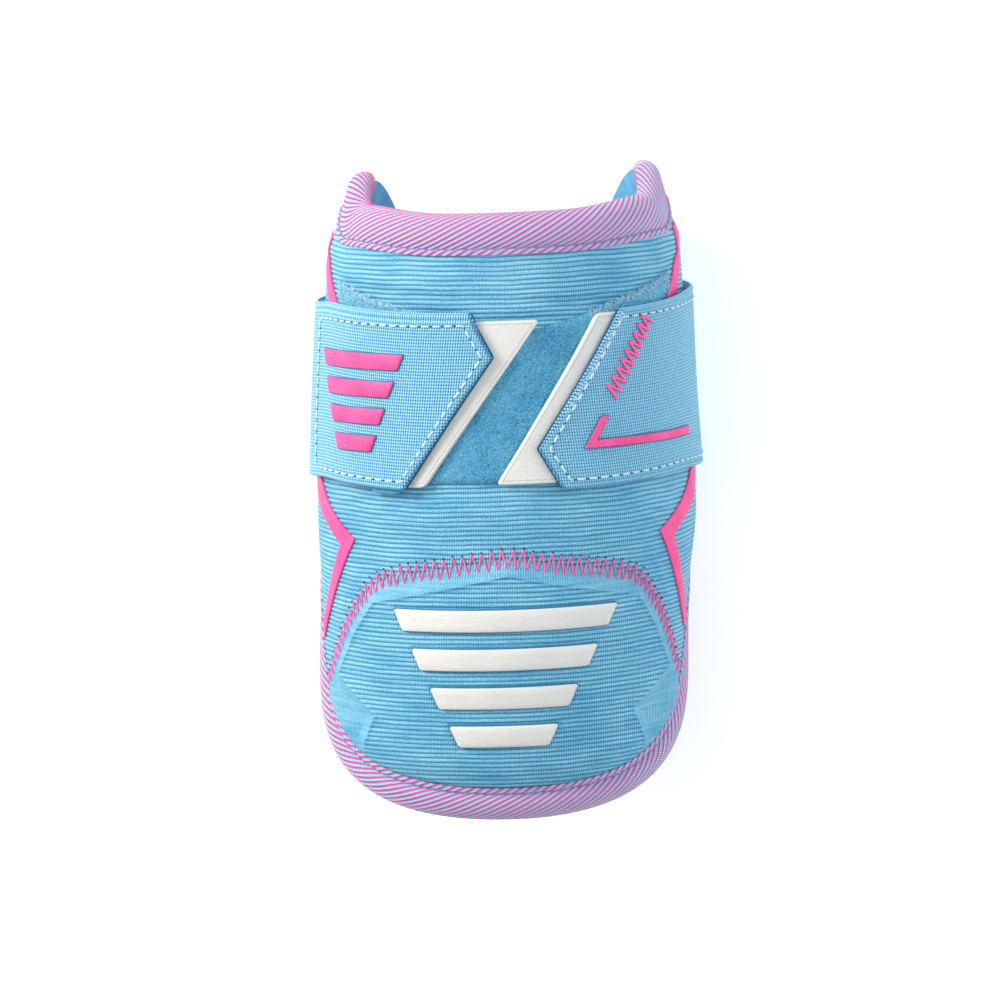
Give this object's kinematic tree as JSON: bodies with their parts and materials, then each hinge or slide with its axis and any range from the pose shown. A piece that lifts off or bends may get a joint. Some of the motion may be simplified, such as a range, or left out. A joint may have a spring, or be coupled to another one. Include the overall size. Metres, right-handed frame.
{
  "type": "batter's elbow guard",
  "caption": "Padded cloth elbow guard for a batter: a curved wall open at the back, a raised cap over the elbow, bound edges and a wide elastic strap closed at the front.",
  "frame": {"origin": "middle of the bounding box, on the surface that the guard lies on", "axes": "+Y along the arm from the elbow cap to the top edge, +Z out of the front, +X to the right seen from the front"},
  "size_m": [0.117, 0.19, 0.0918],
  "materials": {
    "ribbed_cloth": "corded rib, sky blue",
    "lining_cloth": "smooth knit, deeper blue",
    "twill_tape": "pink and blue diagonal twill",
    "loop_nap": "brushed loop nap",
    "elastic": "woven elastic, sky blue",
    "hook_tape": "moulded hook tape",
    "white_moulding": "grained, satin",
    "pink_film": "welded film, satin"
  },
  "bodies": {
    "root": {"body_panel": "ribbed_cloth", "lining": "lining_cloth", "cap_panel": "ribbed_cloth", "top_binding": "twill_tape", "bottom_binding": "twill_tape", "loop_panel": "loop_nap", "strap_band": "elastic", "hook_pad_left": "hook_tape", "hook_pad_right": "hook_tape", "pull_tab_left": "white_moulding", "pull_tab_right": "white_moulding", "side_stripe_left": "pink_film", "side_stripe_right": "pink_film", "cap_bar_1": "white_moulding", "cap_bar_2": "white_moulding", "cap_bar_3": "white_moulding", "cap_bar_4": "white_moulding", "strap_bar_1": "pink_film", "strap_bar_2": "pink_film", "strap_bar_3": "pink_film", "strap_bar_4": "pink_film", "strap_stripe": "pink_film"}
  },
  "joints": []
}
